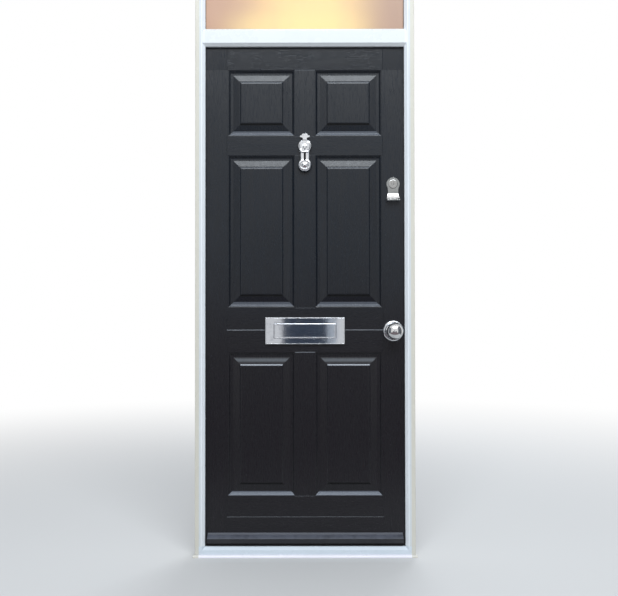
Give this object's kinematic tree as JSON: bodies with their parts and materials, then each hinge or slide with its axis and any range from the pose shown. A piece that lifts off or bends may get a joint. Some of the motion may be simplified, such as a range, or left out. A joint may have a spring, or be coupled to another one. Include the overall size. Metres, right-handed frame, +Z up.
{
  "type": "panelled front door in its frame",
  "caption": "Inward-opening front door with raised and fielded panels, a rebated white frame with a glazed fanlight over the transom, letter plate, knocker, pull knob and night latch.",
  "frame": {"origin": "middle of the underside of the outer frame, at half the frame's depth", "axes": "+Z up, -Y faces outside, +X to the right as seen from outside; the leaf is hung on the -X side"},
  "size_m": [0.89, 0.1723, 2.45],
  "materials": {
    "frame_white": "smooth, slightly aged white",
    "seal": "matt black",
    "obscure_glass": "obscure, warm light behind",
    "spacer": "satin",
    "packer": "plain",
    "leaf_black": "satin black with a pressed wood grain",
    "foam": "closed-cell foam",
    "timber": "plain laminated timber",
    "hinge_steel": "satin",
    "weatherbar_black": "satin black",
    "cap_black": "plain black",
    "bright_chrome": "polished",
    "bolt_steel": "zinc plated",
    "cylinder_brass": "plain",
    "latch_satin": "satin"
  },
  "bodies": {
    "frame": {"outer_frame": "frame_white", "transom": "frame_white", "threshold_trim": "frame_white", "door_seal": "seal", "glass_outer_pane": "obscure_glass", "glass_inner_pane": "obscure_glass", "glass_spacer": "spacer", "glazing_gaskets": "seal", "glazing_packers": "packer", "glazing_bead_left": "frame_white", "glazing_bead_right": "frame_white", "glazing_bead_top": "frame_white", "glazing_bead_bottom": "frame_white", "hinge_1_frame_plate": "hinge_steel", "hinge_1_pin": "hinge_steel", "hinge_2_frame_plate": "hinge_steel", "hinge_2_pin": "hinge_steel", "hinge_3_frame_plate": "hinge_steel", "hinge_3_pin": "hinge_steel", "latch_staple": "latch_satin"},
    "leaf": {"leaf_outer_skin": "leaf_black", "leaf_inner_skin": "leaf_black", "leaf_core": "foam", "hinge_stile": "timber", "lock_stile": "timber", "top_rail": "timber", "bottom_rail": "timber", "hinge_1_door_plate": "hinge_steel", "hinge_2_door_plate": "hinge_steel", "hinge_3_door_plate": "hinge_steel", "weatherbar": "weatherbar_black", "weatherbar_end_caps": "cap_black", "letter_plate_frame": "bright_chrome", "letter_flap_pin": "bright_chrome", "letter_sleeve": "cap_black", "letter_inner_plate": "bright_chrome", "letter_inner_pin": "bright_chrome", "letter_bolts": "bolt_steel", "knocker_rose": "bright_chrome", "knocker_pin": "bright_chrome", "knocker_striker": "bright_chrome", "knocker_bolts": "bolt_steel", "knob_rose": "bright_chrome", "door_knob": "bright_chrome", "knob_bolt": "bolt_steel", "cylinder_pull": "bright_chrome", "cylinder_body": "cylinder_brass", "latch_case": "latch_satin"},
    "knocker": {"knocker_arm": "bright_chrome"},
    "outer_flap": {"letter_flap": "bright_chrome"},
    "inner_flap": {"letter_inner_flap": "bright_chrome"},
    "key_plug": {"cylinder_plug": "cylinder_brass"},
    "turn": {"latch_turn": "latch_satin"},
    "bolt": {"latch_bolt": "cylinder_brass"},
    "snib": {"latch_snib": "latch_satin"}
  },
  "joints": [
    {"name": "door_swing", "type": "hinge", "parent": "frame", "child": "leaf", "pos_m": [-0.414, 0.044, 1.04], "axis": [0, 0, 1], "range_deg": [0, 95]},
    {"name": "knocker_swing", "type": "hinge", "parent": "leaf", "child": "knocker", "pos_m": [0, -0.02, 1.641], "axis": [-1, 0, 0], "range_deg": [0, 70]},
    {"name": "outer_flap_lift", "type": "hinge", "parent": "leaf", "child": "outer_flap", "pos_m": [0, -0.0166, 0.9253], "axis": [-1, 0, 0], "range_deg": [0, 80], "stiffness_Nm_per_rad": 0.1, "springref_deg": -17.19},
    {"name": "inner_flap_lift", "type": "hinge", "parent": "leaf", "child": "inner_flap", "pos_m": [0, 0.0434, 0.9272], "axis": [1, 0, 0], "range_deg": [0, 80], "stiffness_Nm_per_rad": 0.05, "springref_deg": -17.19},
    {"name": "key_turn", "type": "hinge", "parent": "leaf", "child": "key_plug", "pos_m": [0.355, 0, 1.4875], "axis": [0, 1, 0], "range_deg": [-90, 90]},
    {"name": "latch_turn_knob", "type": "hinge", "parent": "leaf", "child": "turn", "pos_m": [0.355, 0.06, 1.4875], "axis": [0, -1, 0], "range_deg": [0, 60]},
    {"name": "latch_bolt_throw", "type": "slide", "parent": "leaf", "child": "bolt", "axis": [1, 0, 0], "range_m": [0, 0.014]},
    {"name": "snib_slide", "type": "slide", "parent": "leaf", "child": "snib", "axis": [0, 0, 1], "range_m": [0, 0.008]}
  ],
  "couplings": [
    {"joint": "latch_turn_knob", "follows": "latch_bolt_throw", "rad_per_m": 74.79}
  ]
}
